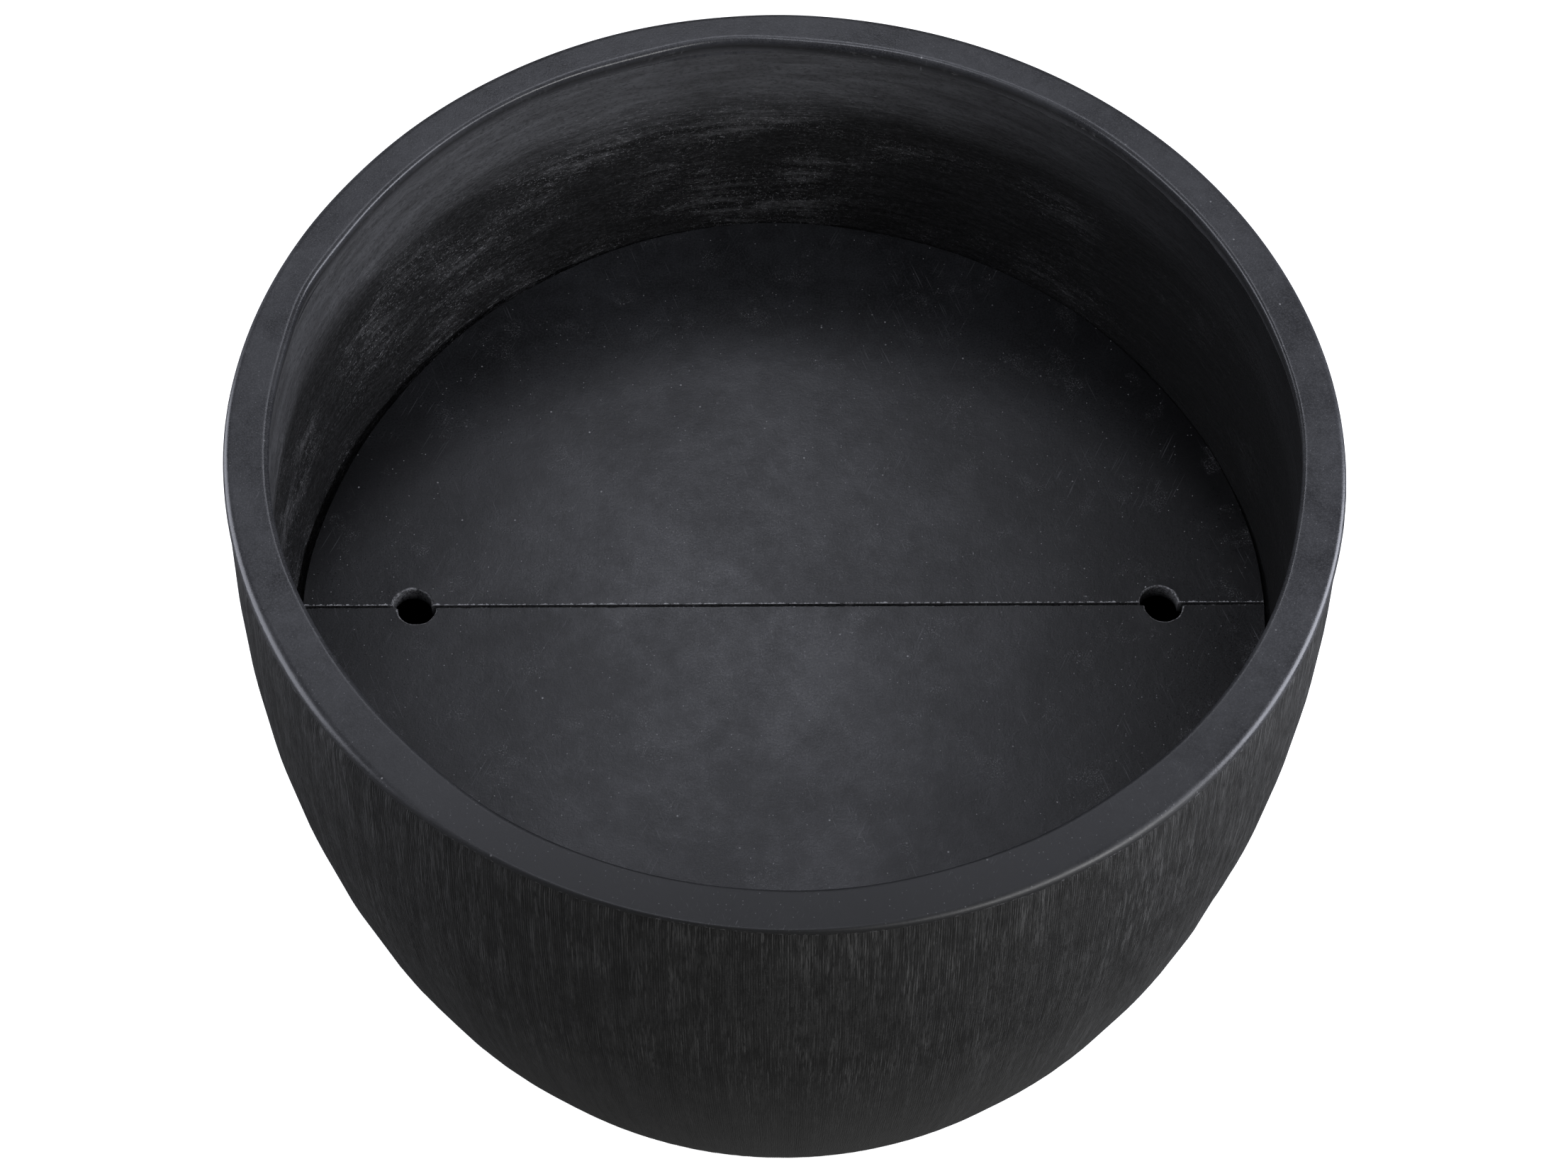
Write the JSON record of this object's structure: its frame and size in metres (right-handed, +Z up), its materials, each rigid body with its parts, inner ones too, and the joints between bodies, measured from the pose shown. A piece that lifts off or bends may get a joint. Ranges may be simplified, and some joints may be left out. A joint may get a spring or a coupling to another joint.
{
  "type": "planter bowl",
  "caption": "Large round planter bowl with a brushed outside, a smooth flat rim and a removable false bottom in two half discs with finger holes.",
  "frame": {"origin": "middle of the underside, on the surface that the bowl stands on", "axes": "+Z up along the bowl's axis; the seam of the shelf runs along X; the front faces -Y"},
  "size_m": [0.6966, 0.6966, 0.49],
  "materials": {
    "brushed_shell": "matte",
    "smooth_rim": "satin",
    "shelf_board": "satin",
    "rough_cleat": "matte",
    "black_rubber": "matte"
  },
  "bodies": {
    "bowl": {"bowl_shell": "brushed_shell", "rim_cap": "smooth_rim", "shelf_cleat_1": "rough_cleat", "shelf_cleat_2": "rough_cleat", "shelf_cleat_3": "rough_cleat", "shelf_cleat_4": "rough_cleat", "shelf_cleat_5": "rough_cleat", "shelf_cleat_6": "rough_cleat"},
    "rear_shelf": {"rear_shelf_plate": "shelf_board"},
    "front_shelf": {"front_shelf_plate": "shelf_board"},
    "plug": {"drain_plug": "black_rubber"}
  },
  "joints": [
    {"name": "rear_shelf_lift", "type": "slide", "parent": "bowl", "child": "rear_shelf", "axis": [0, 0, 1], "range_m": [0, 0.26]},
    {"name": "front_shelf_lift", "type": "slide", "parent": "bowl", "child": "front_shelf", "axis": [0, 0, 1], "range_m": [0, 0.26]},
    {"name": "plug_pull", "type": "slide", "parent": "bowl", "child": "plug", "axis": [0, 0, 1], "range_m": [0, 0.12]}
  ]
}
